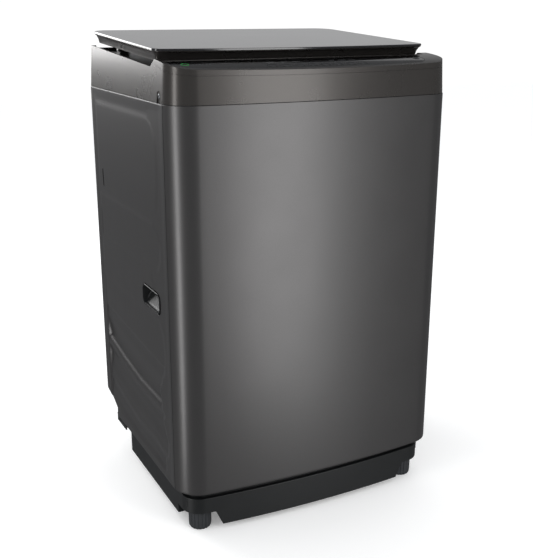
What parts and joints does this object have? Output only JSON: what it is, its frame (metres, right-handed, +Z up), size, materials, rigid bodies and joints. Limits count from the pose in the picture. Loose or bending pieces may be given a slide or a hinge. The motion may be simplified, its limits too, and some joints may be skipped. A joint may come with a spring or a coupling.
{
  "type": "top load washing machine",
  "caption": "Top load washing machine with a hinged glass lid over an inclined front panel, a suspended tub with spinning basket and pulsator, and turning feet.",
  "frame": {"origin": "on the floor under the middle of the machine's box", "axes": "+Z up, -Y towards the user at the control panel, +X to the user's right"},
  "size_m": [0.6226, 0.56, 1.0057],
  "materials": {
    "painted_steel": "satin grey paint with fine metallic flake",
    "galvanised_steel": "galvanised sheet",
    "plinth_plastic": "fine moulded texture",
    "foot_rubber": "matt",
    "cover_plastic": "satin painted moulding",
    "panel_glass": "clear gloss over black print",
    "lid_glass": "tempered glass with black print behind it",
    "key_plastic": "gloss",
    "black_plastic": "moulded black",
    "plain_steel": "zinc plated",
    "grey_plastic": "moulded grey",
    "white_plastic": "moulded white",
    "tub_plastic": "filled polypropylene",
    "stainless_steel": "rolled stainless sheet",
    "cast_aluminium": "die cast"
  },
  "bodies": {
    "body": {"base_plinth": "plinth_plastic", "cabinet": "painted_steel", "control_board_box": "grey_plastic", "control_panel_frame": "cover_plastic", "control_panel_glass": "panel_glass", "cord_gland": "foot_rubber", "cover_screw_left": "plain_steel", "cover_screw_right": "plain_steel", "detergent_drawer_housing": "white_plastic", "drain_outlet": "plinth_plastic", "handle_cup_left": "plinth_plastic", "handle_cup_right": "plinth_plastic", "hinge_bracket_left": "black_plastic", "hinge_bracket_right": "black_plastic", "inlet_valve_cold": "white_plastic", "inlet_valve_hot": "white_plastic", "rear_panel": "galvanised_steel", "suspension_rod_front_left": "plain_steel", "suspension_rod_front_right": "plain_steel", "suspension_rod_rear_left": "plain_steel", "suspension_rod_rear_right": "plain_steel", "top_cover": "cover_plastic"},
    "lid": {"lid_glass": "lid_glass", "lid_frame": "cover_plastic", "lid_inner_cover": "black_plastic", "hinge_pin_left": "plain_steel", "hinge_pin_right": "plain_steel"},
    "tub": {"drain_valve": "black_plastic", "drive_belt": "foot_rubber", "drive_frame": "plain_steel", "gearbox_case": "cast_aluminium", "motor": "plain_steel", "outer_tub": "tub_plastic", "suspension_cup_front_left": "grey_plastic", "suspension_cup_front_right": "grey_plastic", "suspension_cup_rear_left": "grey_plastic", "suspension_cup_rear_right": "grey_plastic", "tub_ring": "grey_plastic"},
    "basket": {"wash_basket": "stainless_steel", "balance_ring": "black_plastic"},
    "lint_filter": {"lint_filter": "grey_plastic"},
    "pulsator": {"pulsator": "grey_plastic", "drive_shaft": "plain_steel", "drive_pulley": "cast_aluminium"},
    "motor_rotor": {"motor_pulley": "cast_aluminium"},
    "drawer": {"detergent_drawer": "white_plastic"},
    "power_key": {"power_key": "key_plastic"},
    "program_key_1": {"program_key_1": "key_plastic"},
    "program_key_2": {"program_key_2": "key_plastic"},
    "program_key_3": {"program_key_3": "key_plastic"},
    "program_key_4": {"program_key_4": "key_plastic"},
    "program_key_5": {"program_key_5": "key_plastic"},
    "program_key_6": {"program_key_6": "key_plastic"},
    "program_key_7": {"program_key_7": "key_plastic"},
    "program_key_8": {"program_key_8": "key_plastic"},
    "foot_front_left": {"foot_front_left": "foot_rubber"},
    "foot_front_right": {"foot_front_right": "foot_rubber"},
    "foot_rear_left": {"foot_rear_left": "foot_rubber"},
    "foot_rear_right": {"foot_rear_right": "foot_rubber"}
  },
  "joints": [
    {"name": "lid_hinge", "type": "hinge", "parent": "body", "child": "lid", "pos_m": [0, 0.24, 0.985], "axis": [-1, 0, 0], "range_deg": [0, 85]},
    {"name": "program_key_1_press", "type": "slide", "parent": "body", "child": "program_key_1", "axis": [0, 0.2249, -0.9744], "range_m": [0, 0.0008], "stiffness_N_per_m": 600},
    {"name": "program_key_2_press", "type": "slide", "parent": "body", "child": "program_key_2", "axis": [0, 0.2268, -0.974], "range_m": [0, 0.0008], "stiffness_N_per_m": 600},
    {"name": "program_key_3_press", "type": "slide", "parent": "body", "child": "program_key_3", "axis": [0, 0.228, -0.9737], "range_m": [0, 0.0008], "stiffness_N_per_m": 600},
    {"name": "program_key_4_press", "type": "slide", "parent": "body", "child": "program_key_4", "axis": [0, 0.2287, -0.9735], "range_m": [0, 0.0008], "stiffness_N_per_m": 600},
    {"name": "program_key_5_press", "type": "slide", "parent": "body", "child": "program_key_5", "axis": [0, 0.2288, -0.9735], "range_m": [0, 0.0008], "stiffness_N_per_m": 600},
    {"name": "program_key_6_press", "type": "slide", "parent": "body", "child": "program_key_6", "axis": [0, 0.2282, -0.9736], "range_m": [0, 0.0008], "stiffness_N_per_m": 600},
    {"name": "program_key_7_press", "type": "slide", "parent": "body", "child": "program_key_7", "axis": [0, 0.2271, -0.9739], "range_m": [0, 0.0008], "stiffness_N_per_m": 600},
    {"name": "program_key_8_press", "type": "slide", "parent": "body", "child": "program_key_8", "axis": [0, 0.2253, -0.9743], "range_m": [0, 0.0008], "stiffness_N_per_m": 600},
    {"name": "power_key_press", "type": "slide", "parent": "body", "child": "power_key", "axis": [0, 0.1815, -0.9834], "range_m": [0, 0.0008], "stiffness_N_per_m": 600},
    {"name": "tub_bounce", "type": "slide", "parent": "body", "child": "tub", "axis": [0, 0, 1], "range_m": [-0.015, 0.01], "stiffness_N_per_m": 20000, "springref_m": 0.01047},
    {"name": "basket_spin", "type": "hinge", "parent": "tub", "child": "basket", "pos_m": [0, 0, 0.5], "axis": [0, 0, 1], "continuous": true},
    {"name": "pulsator_spin", "type": "hinge", "parent": "tub", "child": "pulsator", "pos_m": [0, 0, 0.22], "axis": [0, 0, 1], "continuous": true},
    {"name": "motor_spin", "type": "hinge", "parent": "tub", "child": "motor_rotor", "pos_m": [-0.118, 0.092, 0.13], "axis": [0, 0, 1], "continuous": true},
    {"name": "lint_filter_lift", "type": "slide", "parent": "basket", "child": "lint_filter", "axis": [0, 0, 1], "range_m": [0, 0.05]},
    {"name": "drawer_slide", "type": "slide", "parent": "body", "child": "drawer", "axis": [0, -1, 0], "range_m": [0, 0.06]},
    {"name": "foot_front_left_turn", "type": "hinge", "parent": "body", "child": "foot_front_left", "pos_m": [-0.255, -0.214, 0.03], "axis": [0, 0, 1], "continuous": true},
    {"name": "foot_front_right_turn", "type": "hinge", "parent": "body", "child": "foot_front_right", "pos_m": [0.255, -0.214, 0.03], "axis": [0, 0, 1], "continuous": true},
    {"name": "foot_rear_left_turn", "type": "hinge", "parent": "body", "child": "foot_rear_left", "pos_m": [-0.225, 0.19, 0.03], "axis": [0, 0, 1], "continuous": true},
    {"name": "foot_rear_right_turn", "type": "hinge", "parent": "body", "child": "foot_rear_right", "pos_m": [0.225, 0.19, 0.03], "axis": [0, 0, 1], "continuous": true}
  ],
  "couplings": [
    {"joint": "motor_spin", "follows": "pulsator_spin", "ratio": 4}
  ]
}
